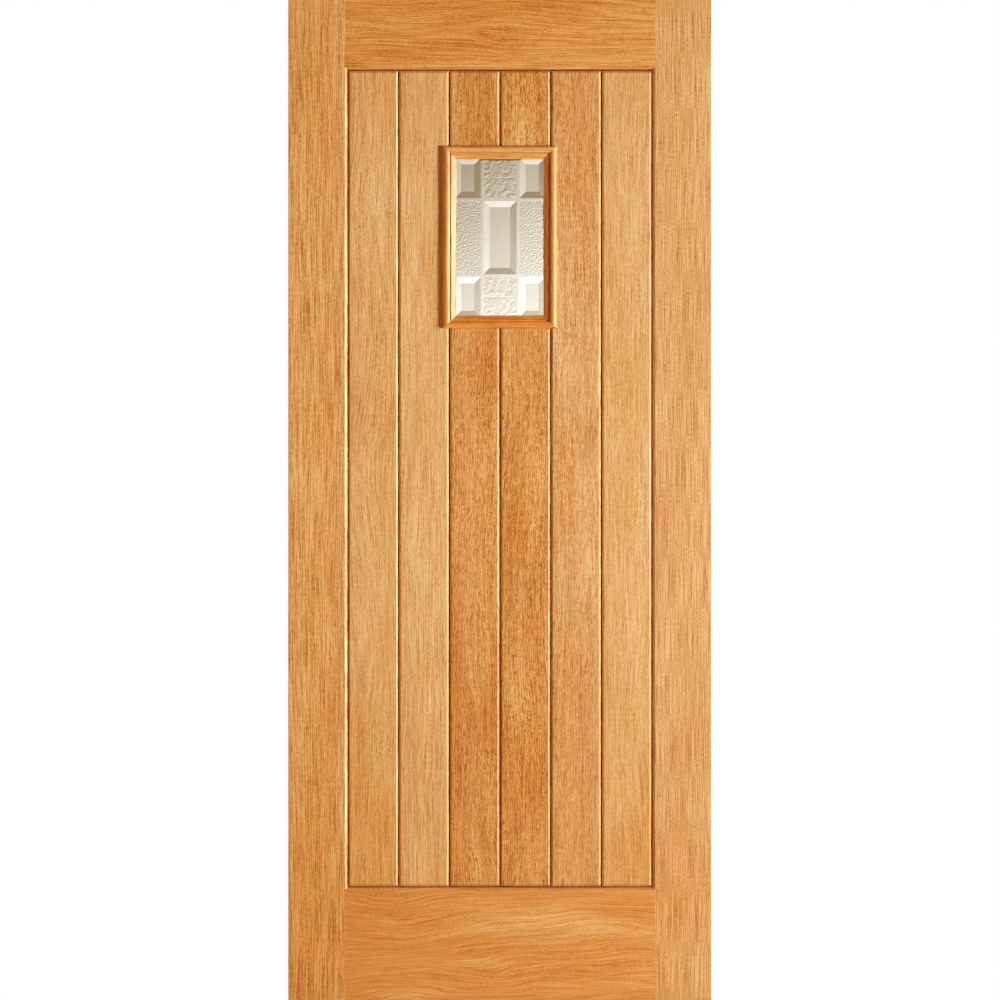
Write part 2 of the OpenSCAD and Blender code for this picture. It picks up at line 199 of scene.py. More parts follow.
class OakSettings(bpy.types.PropertyGroup):
    """Colours and grain of the oak."""

    left_stile: FloatVectorProperty(
        name="Left stile", description="Mean colour of the left stile",
        subtype="COLOR", default=linear("#d2a75f"))
    right_stile: FloatVectorProperty(
        name="Right stile", description="Mean colour of the right stile",
        subtype="COLOR", default=linear("#cea664"))
    top_rail: FloatVectorProperty(
        name="Top rail", description="Mean colour of the top rail",
        subtype="COLOR", default=linear("#d09d48"))
    bottom_rail: FloatVectorProperty(
        name="Bottom rail", description="Mean colour of the bottom rail",
        subtype="COLOR", default=linear("#d1a054"))
    board_1: FloatVectorProperty(
        name="Board 1", description="Mean colour of the first board from the left",
        subtype="COLOR", default=linear("#d4b06f"))
    board_2: FloatVectorProperty(
        name="Board 2", description="Mean colour of the second board",
        subtype="COLOR", default=linear("#d5b477"))
    board_3: FloatVectorProperty(
        name="Board 3", description="Mean colour of the third board",
        subtype="COLOR", default=linear("#c89748"))
    board_4: FloatVectorProperty(
        name="Board 4", description="Mean colour of the fourth board",
        subtype="COLOR", default=linear("#c89745"))
    board_5: FloatVectorProperty(
        name="Board 5", description="Mean colour of the fifth board",
        subtype="COLOR", default=linear("#cda363"))
    board_6: FloatVectorProperty(
        name="Board 6", description="Mean colour of the sixth board",
        subtype="COLOR", default=linear("#d1ac6e"))
    bead: FloatVectorProperty(
        name="Beads", description="Mean colour of the glazing beads",
        subtype="COLOR", default=linear("#d5a65c"))
    bead_bottom: FloatVectorProperty(
        name="Bottom beads", description="Mean colour of the beads under the light",
        subtype="COLOR", default=linear("#d49641"))
    ring: FloatProperty(
        name="Ring spacing", description="Distance between growth rings",
        unit="LENGTH", default=1.4 * MM)
    ring_run: FloatProperty(
        name="Ring run", description="Length over which a ring keeps its tone",
        unit="LENGTH", default=110 * MM)
    pore_w: FloatProperty(
        name="Pore width", description="Drawn width of a pore", unit="LENGTH", default=1.1 * MM)
    pore_l: FloatProperty(
        name="Pore length", description="Drawn length of a pore", unit="LENGTH", default=5.5 * MM)
    cloud_w: FloatProperty(
        name="Cloud width", description="Width of the soft changes of tone",
        unit="LENGTH", default=58 * MM)
    cloud_l: FloatProperty(
        name="Cloud length", description="Length of the soft changes of tone",
        unit="LENGTH", default=310 * MM)
    wander_w: FloatProperty(
        name="Wander width", description="Width over which the rings wander",
        unit="LENGTH", default=130 * MM)
    wander_l: FloatProperty(
        name="Wander length", description="Length over which the rings wander",
        unit="LENGTH", default=400 * MM)
    cloud_red: FloatProperty(
        name="Cloud redness", description="How much redder the oak is where its clouds are dark",
        default=3.8, min=0)
    lean_w: FloatProperty(
        name="Lean width", description="Width over which the fibres lean one way",
        unit="LENGTH", default=140 * MM)
    lean_l: FloatProperty(
        name="Lean length", description="Length over which the fibres lean one way",
        unit="LENGTH", default=120 * MM)
    contrast: FloatVectorProperty(
        name="Contrast", description="One step of contrast in red, green and blue",
        default=(0.082, 0.135, 0.215), min=0, max=1)
    dark_tail: FloatProperty(
        name="Dark marks", description="How far the darkest marks go, in steps of contrast",
        default=1.95, min=0)
    light_tail: FloatProperty(
        name="Light marks", description="How far the lightest marks go, in steps of contrast",
        default=0.98, min=0)
    line: FloatProperty(
        name="Ring lines", description="Strength of the thin dark lines between rings",
        subtype="FACTOR", min=0, max=1, default=0.14)
    edge: FloatProperty(
        name="Eased edge", description="Width of the sanded edges", unit="LENGTH", default=0.5 * MM)
    # Painted shade: how much darker and redder the oak is painted towards the leaf's top and bottom
    ruddy: FloatProperty(
        name="Painted end shade", description="How much redder the oak is towards the leaf's top and bottom",
        subtype="FACTOR", min=0, max=1, default=0.7)


class GlassSettings(bpy.types.PropertyGroup):
    """Texture of the glass."""

    step: FloatProperty(
        name="Mesh step", description="Spacing of the points on textured glass",
        unit="LENGTH", default=0.7 * MM)
    stipple: FloatProperty(
        name="Stipple size", description="Size of the grains of the stippled glass",
        unit="LENGTH", default=2.6 * MM)
    stipple_relief: FloatProperty(
        name="Stipple relief", description="Height of the stipple",
        unit="LENGTH", default=0.95 * MM)
    chip_l: FloatProperty(
        name="Chip length", description="Length of the flakes of the chipped glass",
        unit="LENGTH", default=10 * MM)
    chip_w: FloatProperty(
        name="Chip width", description="Width of the flakes of the chipped glass",
        unit="LENGTH", default=7.5 * MM)
    chip_relief: FloatProperty(
        name="Chip relief", description="Height of the flakes", unit="LENGTH", default=0.68 * MM)
    tint: FloatVectorProperty(
        name="Tint", description="Colour of the glass", subtype="COLOR", default=linear("#fefffe"))


class StageSettings(bpy.types.PropertyGroup):
    """Camera, lamps and backdrop."""

    lens: FloatProperty(
        name="Lens", description="Focal length of the camera", unit="CAMERA", default=180.0)
    shown_height: FloatProperty(
        name="Height in view", description="Height of the leaf that fills the picture",
        unit="LENGTH", default=LEAF_H - 2 * MM)
    card_gap: FloatProperty(
        name="Card distance", description="Distance of the card behind the glass",
        unit="LENGTH", default=2.6)
    # The card glows: its colours are painted light that only the glass shows
    card_dark: FloatVectorProperty(
        name="Card, top left", description="Colour of the card behind the top left of the glass",
        subtype="COLOR", default=linear("#7f6e56"))
    card_middle: FloatVectorProperty(
        name="Card, middle", description="Colour of the card behind the middle of the glass",
        subtype="COLOR", default=linear("#c3b9ae"))
    card_light: FloatVectorProperty(
        name="Card, bottom right",
        description="Colour of the card behind the bottom right of the glass",
        subtype="COLOR", default=linear("#e8e4de"))


def oak(name, tone, cut, gloss=OIL_GLOSS, film=OIL_FILM, joint_shade=None):
    """Oak, planed and sanded, with a satin oil.

    Short dark fibres and pores lie along the growth rings, which show as faint streaks, soft clouds of
    tone spread over a hand's width, and a thin smooth film gives the eased edges their shine. Where the
    plank ends in an open joint, painted shade darkens it deep in the joint and leaves a dark line.
    Towards the top and the bottom of the leaf it is painted darker and redder, as painted shade where
    the lamps' light falls off. The pores are drawn a few times wider than they are, since real ones are
    too fine to show from here.
    """
    wood = bpy.context.scene.door_oak
    seen = Color(tone).from_scene_linear_to_srgb()
    dark = Color([max(0.0, s - d * wood.dark_tail) for s, d in zip(seen, wood.contrast)])
    dark = dark.from_srgb_to_scene_linear()
    light = Color([min(1.0, s + d * wood.light_tail) for s, d in zip(seen, wood.contrast)])
    light = light.from_srgb_to_scene_linear()
    seed = Vector([cut.seed * step for step in SEED_STEPS])
    material, tree, shader = start_material(
        name, IOR=OIL_IOR, Specular_IOR_Level=gloss,
        Coat_Weight=film, Coat_Roughness=FILM_ROUGH, Coat_IOR=OIL_IOR)

    # Grain space: across the plank, along it, and into its thickness
    place = add(tree, "ShaderNodeTexCoord")
    axes = add(tree, "ShaderNodeSeparateXYZ", links={0: place.outputs["Object"]})
    across, along = ("X", "Z") if cut.upright else ("Z", "X")
    grain = add(tree, "ShaderNodeCombineXYZ", links={
        0: axes.outputs[across], 1: axes.outputs[along], 2: axes.outputs["Y"]})
    grain = grain.outputs[0]

    # Distance from the heart of the log, which wanders along the plank
    wander_at = add(tree, "ShaderNodeVectorMath", {"operation": "MULTIPLY_ADD"}, {
        1: (1 / wood.wander_w, 1 / wood.wander_l, 1 / wood.wander_w), 2: seed}, {0: grain})
    wander = add(tree, "ShaderNodeTexNoise", values={"Scale": 1, "Detail": 2, "Roughness": 0.45}, links={
        "Vector": wander_at.outputs[0]})
    from_pith = add(tree, "ShaderNodeVectorMath", {"operation": "SUBTRACT"}, {
        1: (cut.pith_across * MM, 0, cut.pith_deep * MM)}, {0: grain})
    wandered = add(tree, "ShaderNodeVectorMath", {"operation": "MULTIPLY_ADD"}, {
        1: (cut.wander * MM, 0, WANDER_DEPTH * cut.wander * MM)}, {
        0: wander.outputs["Color"], 2: from_pith.outputs[0]})
    in_section = add(tree, "ShaderNodeVectorMath", {"operation": "MULTIPLY"}, {1: (1, 0, 1)}, {
        0: wandered.outputs[0]})
    radius = add(tree, "ShaderNodeVectorMath", {"operation": "LENGTH"}, links={
        0: in_section.outputs[0]})
    ring_place = add(tree, "ShaderNodeCombineXYZ", links={
        0: radius.outputs["Value"], 1: axes.outputs[along]})

    # Streaks of the growth rings, and soft clouds of tone
    ring_at = add(tree, "ShaderNodeVectorMath", {"operation": "MULTIPLY_ADD"}, {
        1: (1 / wood.ring, 1 / wood.ring_run, 0), 2: seed}, {0: ring_place.outputs[0]})
    rings = add(tree, "ShaderNodeTexNoise", values={"Scale": 1, "Detail": 0}, links={
        "Vector": ring_at.outputs[0]})
    cloud_at = add(tree, "ShaderNodeVectorMath", {"operation": "MULTIPLY_ADD"}, {
        1: (1 / wood.cloud_w, 1 / wood.cloud_l, 1 / wood.cloud_w), 2: -seed}, {0: grain})
    clouds = add(tree, "ShaderNodeTexNoise", values={"Scale": 1, "Detail": 1, "Roughness": 0.4}, links={
        "Vector": cloud_at.outputs[0]})
    streaks = add(tree, "ShaderNodeMix", {"data_type": "FLOAT"}, {"Factor": cut.clouds}, {
        "A": rings.outputs["Fac"], "B": clouds.outputs["Fac"]})

    # Thin dark lines where one year's wood meets the next
    off_line = add(tree, "ShaderNodeMath", {"operation": "SUBTRACT"}, {1: LINE_AT}, {
        0: rings.outputs["Fac"]})
    off_line = add(tree, "ShaderNodeMath", {"operation": "ABSOLUTE"}, links={0: off_line.outputs[0]})
    lines = add(tree, "ShaderNodeMapRange", values={
        "From Max": LINE_FADE, "To Min": wood.line, "To Max": 0.0}, links={
        "Value": off_line.outputs[0]})

    # Short fibres and pores, which lean to and fro where the plank has a ripple in it
    lean_at = add(tree, "ShaderNodeVectorMath", {"operation": "MULTIPLY_ADD"}, {
        1: (1 / wood.lean_w, 1 / wood.lean_l, 0), 2: seed}, {0: grain})
    lean = add(tree, "ShaderNodeTexNoise", values={"Scale": 1, "Detail": 1, "Roughness": 0.4}, links={
        "Vector": lean_at.outputs[0]})
    leaning = add(tree, "ShaderNodeVectorMath", {"operation": "MULTIPLY_ADD"}, {
        1: (cut.lean * MM, 0, 0)}, {0: lean.outputs["Color"], 2: ring_place.outputs[0]})
    fibre_at = add(tree, "ShaderNodeVectorMath", {"operation": "MULTIPLY_ADD"}, {
        1: (1 / (cut.fibre_w * MM), 1 / (cut.fibre_l * MM), 0), 2: seed * 2}, {0: leaning.outputs[0]})
    fibres = add(tree, "ShaderNodeTexNoise", values={"Scale": 1, "Detail": 0}, links={
        "Vector": fibre_at.outputs[0]})
    pore_at = add(tree, "ShaderNodeVectorMath", {"operation": "MULTIPLY_ADD"}, {
        1: (1 / wood.pore_w, 1 / wood.pore_l, 0), 2: seed * 3}, {0: leaning.outputs[0]})
    pores = add(tree, "ShaderNodeTexNoise", values={"Scale": 1, "Detail": 0}, links={
        "Vector": pore_at.outputs[0]})
    fine = add(tree, "ShaderNodeMix", {"data_type": "FLOAT"}, {"Factor": cut.pores}, {
        "A": fibres.outputs["Fac"], "B": pores.outputs["Fac"]})
    figure = add(tree, "ShaderNodeMix", {"data_type": "FLOAT"}, {"Factor": cut.fine}, {
        "A": streaks.outputs[0], "B": fine.outputs[0]})

    tones = add(tree, "ShaderNodeValToRGB", links={"Fac": figure.outputs[0]})
    stops = tones.color_ramp.elements
    stops[0].position = 0.50 - RAMP_REACH * cut.calm
    stops[0].color = opaque(dark)
    stops[1].position = 0.50 + RAMP_REACH * cut.calm
    stops[1].color = opaque(light)
    stops.new(0.50).color = opaque(tone)
    lined = add(tree, "ShaderNodeMix", {"data_type": "RGBA"}, links={
        "Factor": lines.outputs[0], 6: tones.outputs["Color"]})
    lined.inputs[7].default_value = opaque(dark)
    colour = lined.outputs[2]

    # Redder where the clouds are dark, and painted shade: darker and redder towards the top and the
    # bottom of the leaf, away from the lamps' aim
    height = add(tree, "ShaderNodeMath", {"operation": "SUBTRACT"}, {1: LIGHT_BRIGHTEST_AT * LEAF_H}, {
        0: axes.outputs["Z"]})
    height = add(tree, "ShaderNodeMath", {"operation": "ABSOLUTE"}, links={0: height.outputs[0]})
    cloud_red = wood.cloud_red * cut.red
    mean_red = BASE_RED + cloud_red / 2
    ends = add(tree, "ShaderNodeMapRange", values={
        "From Min": END_SHADE_FROM * LEAF_H, "From Max": END_SHADE_TO * LEAF_H,
        "To Min": mean_red, "To Max": mean_red + wood.ruddy * cut.ends}, links={
        "Value": height.outputs[0]})
    redness_and_end_shade = add(tree, "ShaderNodeMath", {"operation": "MULTIPLY_ADD"}, {1: -cloud_red}, {
        0: clouds.outputs["Fac"], 2: ends.outputs[0]})
    reddened_and_end_shaded = add(tree, "ShaderNodeMix", {"data_type": "RGBA", "blend_type": "MULTIPLY"}, links={
        "Factor": redness_and_end_shade.outputs[0], 6: colour})
    reddened_and_end_shaded.inputs[7].default_value = opaque(linear(RED_TINT))
    colour = reddened_and_end_shaded.outputs[2]

    # Painted shade: the oak is darker deep in the open joints, by its distance from the middle of the
    # thickness
    if joint_shade:
        deep = add(tree, "ShaderNodeMath", {"operation": "ABSOLUTE"}, links={0: axes.outputs["Y"]})
        deep = add(tree, "ShaderNodeMapRange", values={
            "From Min": joint_shade[0], "From Max": joint_shade[1], "To Min": 1.0, "To Max": 0.0}, links={
            "Value": deep.outputs[0]})
        inside = add(tree, "ShaderNodeMath", {"operation": "COMPARE"}, {
            1: (FIELD[0] + FIELD[1]) / 2, 2: (FIELD[1] - FIELD[0]) / 2}, {0: axes.outputs["Z"]})
        joint_shade_mask = add(tree, "ShaderNodeMath", {"operation": "MULTIPLY"}, links={
            0: deep.outputs[0], 1: inside.outputs[0]})
        joint_shaded = add(tree, "ShaderNodeMix", {"data_type": "RGBA", "blend_type": "MULTIPLY"}, links={
            "Factor": joint_shade_mask.outputs[0], 6: colour})
        joint_shaded.inputs[7].default_value = opaque(linear(JOINT_SHADE_TINT))
        colour = joint_shaded.outputs[2]
    tree.links.new(colour, shader.inputs["Base Color"])

    rough = add(tree, "ShaderNodeMapRange", values={
        "From Min": 0.3, "From Max": 0.7, "To Min": DARK_ROUGH, "To Max": LIGHT_ROUGH}, links={
        "Value": fibres.outputs["Fac"]})
    tree.links.new(rough.outputs[0], shader.inputs["Roughness"])
    relief = add(tree, "ShaderNodeBump", values={"Strength": FIBRE_SHOWS, "Distance": FIBRE_H}, links={
        "Height": fibres.outputs["Fac"]})
    tree.links.new(relief.outputs[0], shader.inputs["Normal"])
    return material


# Refraction of soda-lime glass
GLASS_IOR = 1.52
# Faint wave in sheets of glass: its length, its height and how much of it shows
WAVE_L, WAVE_H, WAVE_SHOWS = 90 * MM, 0.05 * MM, 0.1
# Roughness of a polished face and of a cast one, and the easing of ground edges
POLISHED, CAST = 0.0, 0.03
GROUND_EDGE = 0.35 * MM
# Chipped glass: the slant of its flakes, and the half width and height of the rib across its middle
CHIP_SLANT = math.radians(32)
RIB_W, RIB_H = 1.3 * MM, 0.6


def clear_glass(name, roughness):
    """Soda-lime glass: nearly no colour, and the faintest wave in its faces."""
    tint = bpy.context.scene.door_glass.tint
    material, tree, shader = start_material(
        name, Base_Color=opaque(tint), Roughness=roughness, IOR=GLASS_IOR, Transmission_Weight=1.0)
    place = add(tree, "ShaderNodeTexCoord")
    wave = add(tree, "ShaderNodeTexNoise", values={"Scale": 1 / WAVE_L, "Detail": 1}, links={
        "Vector": place.outputs["Object"]})
    relief = add(tree, "ShaderNodeBump", values={"Strength": WAVE_SHOWS, "Distance": WAVE_H}, links={
        "Height": wave.outputs["Fac"]})
    tree.links.new(relief.outputs[0], shader.inputs["Normal"])
    return material


def speckled(name, light, dark, grain_size, relief, **values):
    """Plain stuff whose tone and surface change a little from grain to grain."""
    material, tree, shader = start_material(name, **values)
    place = add(tree, "ShaderNodeTexCoord")
    grains = add(tree, "ShaderNodeTexNoise", values={"Scale": 1 / grain_size, "Detail": 2}, links={
        "Vector": place.outputs["Object"]})
    tones = add(tree, "ShaderNodeValToRGB", links={"Fac": grains.outputs["Fac"]})
    tones.color_ramp.elements[0].color = opaque(linear(dark))
    tones.color_ramp.elements[1].color = opaque(linear(light))
    tree.links.new(tones.outputs["Color"], shader.inputs["Base Color"])
    bump = add(tree, "ShaderNodeBump", values={"Strength": 0.5, "Distance": relief}, links={
        "Height": grains.outputs["Fac"]})
    tree.links.new(bump.outputs[0], shader.inputs["Normal"])
    return material


def stipple_height(x, z):
    """Fine rolled grains, from 0 to 1."""
    size = bpy.context.scene.door_glass.stipple
    return 0.5 + 0.5 * noise.noise(Vector((x / size, z / size, 4.0)))


def chip_height(x, z, z_middle):
    """Flakes pulled off at a slant, and a low straight rib across the middle, from 0 to 1."""
    glass = bpy.context.scene.door_glass
    bend_fine, bend_run, bend_side, small_fine = 0.8, 0.5, 0.9, 2.1
    flake_share, small_share = 0.6, 0.22
    run = (x * math.cos(CHIP_SLANT) + z * math.sin(CHIP_SLANT)) / glass.chip_l
    side = (z * math.cos(CHIP_SLANT) - x * math.sin(CHIP_SLANT)) / glass.chip_w
    # The last number of each place keeps the three layers apart
    bend = noise.noise(Vector((run * bend_fine, side * bend_fine, 9.0)))
    flake = noise.noise(Vector((run + bend_run * bend, side + bend_side * bend, 2.0)))
    small = noise.noise(Vector((run * small_fine, side * small_fine + bend, 6.0)))
    lumps = min(1.0, max(0.0, 0.5 + flake_share * flake + small_share * small))
    rib = math.exp(-((z - z_middle) / RIB_W) ** 2)
    return lumps * (1 - RIB_H * rib) + RIB_H * rib


def textured_piece(name, node_name, height_at, relief):
    """Piece of glass in the place of a node, its front pressed into a relief below the node's face."""
    low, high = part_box(node_name)
    step = bpy.context.scene.door_glass.step
    columns = max(2, round((high.x - low.x) / step))
    rows = max(2, round((high.z - low.z) / step))
    points = []
    for j in range(rows + 1):
        z = low.z + (high.z - low.z) * j / rows
        for i in range(columns + 1):
            x = low.x + (high.x - low.x) * i / columns
            points.append((x, low.y + relief * (1 - height_at(x, z)), z))
    wide = columns + 1
    faces = [
        (j * wide + i, j * wide + i + 1, (j + 1) * wide + i + 1, (j + 1) * wide + i)
        for j in range(rows) for i in range(columns)
    ]
    front_count = len(faces)
    rim = (
        list(range(wide))
        + [j * wide + columns for j in range(1, rows + 1)]
        + [rows * wide + i for i in range(columns - 1, -1, -1)]
        + [j * wide for j in range(rows - 1, 0, -1)]
    )
    first_back = len(points)
    points += [(points[k][0], high.y, points[k][2]) for k in rim]
    count = len(rim)
    for k in range(count):
        after = (k + 1) % count
        faces.append((rim[after], rim[k], first_back + k, first_back + after))
    faces.append(tuple(range(first_back + count - 1, first_back - 1, -1)))
    mesh = bpy.data.meshes.new(name)
    mesh.from_pydata(points, [], faces)
    mesh.polygons.foreach_set("use_smooth", [k < front_count for k in range(len(faces))])
    mesh.update()
    piece = bpy.data.objects.new(name, mesh)
    bpy.context.scene.collection.objects.link(piece)
    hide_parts(node_name)
    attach(piece, "root")
    return piece


class DOOR_OT_frame(bpy.types.Operator):
    """Oiled oak on the stiles and rails"""

    bl_idname = "door.frame"
    bl_label = "Finish stiles and rails"

    def execute(self, context):
        oak_of = context.scene.door_oak
        for node_name in nodes_in("oak_frame"):
            cut = CUTS[node_name]
            # Rails get painted shade deep in the open joints along them
            joint_shade = None if cut.upright else RAIL_JOINT_SHADE
            material = oak("Oiled oak, " + node_name, getattr(oak_of, node_name), cut, joint_shade=joint_shade)
            dress(node_name, material)
            soften(node_name, oak_of.edge)
        return {"FINISHED"}


class DOOR_OT_boards(bpy.types.Operator):
    """Oiled oak on the boards of both faces"""

    bl_idname = "door.boards"
    bl_label = "Finish boards"

    def execute(self, context):
        oak_of = context.scene.door_oak
        made = {}
        for node_name in nodes_in("oak_boards"):
            face, _, number = node_name.split("_")[:3]
            board = "board_" + number
            key = face + "_" + board
            if key not in made:
                cut = CUTS[board]
                if face == "back":
                    cut = cut._replace(seed=cut.seed + BACK_SEED, pith_deep=-cut.pith_deep)
                # Boards get painted shade deep in their open joints
                made[key] = oak("Oiled oak, " + key, getattr(oak_of, board), cut, joint_shade=BOARD_JOINT_SHADE)
            dress(node_name, made[key])
            soften(node_name, oak_of.edge)
        return {"FINISHED"}


class DOOR_OT_beads(bpy.types.Operator):
    """Oiled oak on the glazing beads, and their pins"""

    bl_idname = "door.beads"
    bl_label = "Finish beads"

    def execute(self, context):
        oak_of = context.scene.door_oak
        upright_cut, level_cut = CUTS["bead_upright"], CUTS["bead_level"]
        upright = oak("Oiled oak, upright beads", oak_of.bead, upright_cut, BEAD_GLOSS, BEAD_FILM)
        top = oak("Oiled oak, top beads", oak_of.bead, level_cut, BEAD_GLOSS, BEAD_FILM)
        bottom = oak("Oiled oak, bottom beads", oak_of.bead_bottom, level_cut, BEAD_GLOSS, BEAD_FILM)
        for node_name in nodes_in("oak_beads"):
            dress(node_name, {"top": top, "bottom": bottom}.get(node_name.split("_")[-1], upright))
            soften(node_name, oak_of.edge)
        # Bright wire whose heads are stopped with wax of the oak's colour, so they hardly show
        waxed = speckled("Waxed steel wire", "#d8974f", "#b97a3a", 0.6 * MM, 0.02 * MM, Roughness=0.5)
        for node_name in nodes_in("pin_steel"):
            dress(node_name, waxed)
        return {"FINISHED"}


class DOOR_OT_clear_glass(bpy.types.Operator):
    """Clear panes and bevelled pieces"""

    bl_idname = "door.clear_glass"
    bl_label = "Finish clear glass"

    def execute(self, context):
        # Float glass: flat and bright, with faces that hardly show
        panes = clear_glass("Float glass", POLISHED)
        for node_name in nodes_in("clear_glass"):
            dress(node_name, panes)
        # Ground and polished again: clear slopes, each with its own piece of what lies behind
        ground = clear_glass("Bevelled glass, ground and polished", POLISHED)
        for node_name in nodes_in("bevelled_glass"):
            dress(node_name, ground)
            soften(node_name, GROUND_EDGE, 1)
        return {"FINISHED"}


class DOOR_OT_textured_glass(bpy.types.Operator):
    """Pieces of stippled and chipped glass"""

    bl_idname = "door.textured_glass"
    bl_label = "Make textured glass"

    def execute(self, context):
        glass = context.scene.door_glass
        # Cast against a textured roller: its relief breaks up what lies behind, and its shine is soft
        cast = clear_glass("Cast glass, textured", CAST)
        for node_name in nodes_in("textured_glass"):
            low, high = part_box(node_name)
            z_middle = (low.z + high.z) / 2
            if node_name.startswith("glass_middle"):
                piece = textured_piece(
                    node_name.replace("glass", "stippled_glass"), node_name,
                    stipple_height, glass.stipple_relief)
            else:
                piece = textured_piece(
                    node_name.replace("glass", "chipped_glass"), node_name,
                    lambda x, z: chip_height(x, z, z_middle), glass.chip_relief)
            piece.data.materials.append(cast)
        return {"FINISHED"}


class DOOR_OT_inside(bpy.types.Operator):
    """What is hidden inside the leaf and around the glazing unit"""

    bl_idname = "door.inside"
    bl_label = "Finish hidden pieces"

    def execute(self, context):
        finishes = {
            # Cut foam: pale and dull, with the cut cells just showing
            "core_foam": speckled(
                "Foam board, cut", "#f1ead6", "#dccfae", 1.5 * MM, 0.3 * MM, Roughness=0.9),
            # Sawn softwood: pale, with a furry sawn face
            "batten_wood": speckled(
                "Softwood, sawn", "#e3c79a", "#c69f66", 4 * MM, 0.2 * MM, Roughness=0.8),
            # Rolled aluminium strip: bright, softly streaked
            "spacer_aluminium": speckled(
                "Aluminium, rolled", "#d2d4d6", "#b9bcbf", 2 * MM, 0.02 * MM,
                Metallic=1.0, Roughness=0.35),
            # Foamed glazing tape: dark and dull
            "glazing_tape": speckled(
                "Foam glazing tape", "#55514a", "#3b3833", 1 * MM, 0.05 * MM, Roughness=0.85),
            # Edge sealant: black and rubbery
            "edge_sealant": speckled(
                "Butyl sealant", "#2b2b2c", "#1b1b1c", 2 * MM, 0.05 * MM, Roughness=0.6),
            # Moulded setting block: hard blue-grey plastic
            "block_plastic": speckled(
                "Polypropylene, moulded", "#626b76", "#525b66", 1 * MM, 0.02 * MM, Roughness=0.45),
        }
        for slot, material in finishes.items():
            for node_name in nodes_in(slot):
                dress(node_name, material)
        return {"FINISHED"}


# Colours of the light, and how strong the warm light from all round is
WHITE, WARM = "#ffffff", "#ffa65a"
WARM_STRENGTH = 0.15
# Height at which the lamps are aimed, in heights of the leaf
LAMP_AIM = 0.63
# How far the floor reaches to each side, to the front, and behind the leaf's front face
FLOOR_SIDE, FLOOR_FRONT, FLOOR_BACK = 1.6, 2.4, 4 * MM
# How far below the leaf the floor lies, and how white the camera sees it
FLOOR_BELOW, FLOOR_WHITE = 0.5 * MM, 0.6
# How far behind the camera the wall stands, and half its width
WALL_GAP, WALL_HALF = 0.8, 7.0
# Half the width of the glowing card behind the glass, the way its painted light rises, and how strongly
# it glows
CARD_HALF, CARD_RISE, CARD_STRENGTH = 0.6, (0.55, 0, -1), 2.18
# Where along that rise the card is darkest and lightest, and the share between them of its middle tone
CARD_DARKEST, CARD_LIGHTEST, CARD_MIDDLE = -0.45, 0.30, 0.6


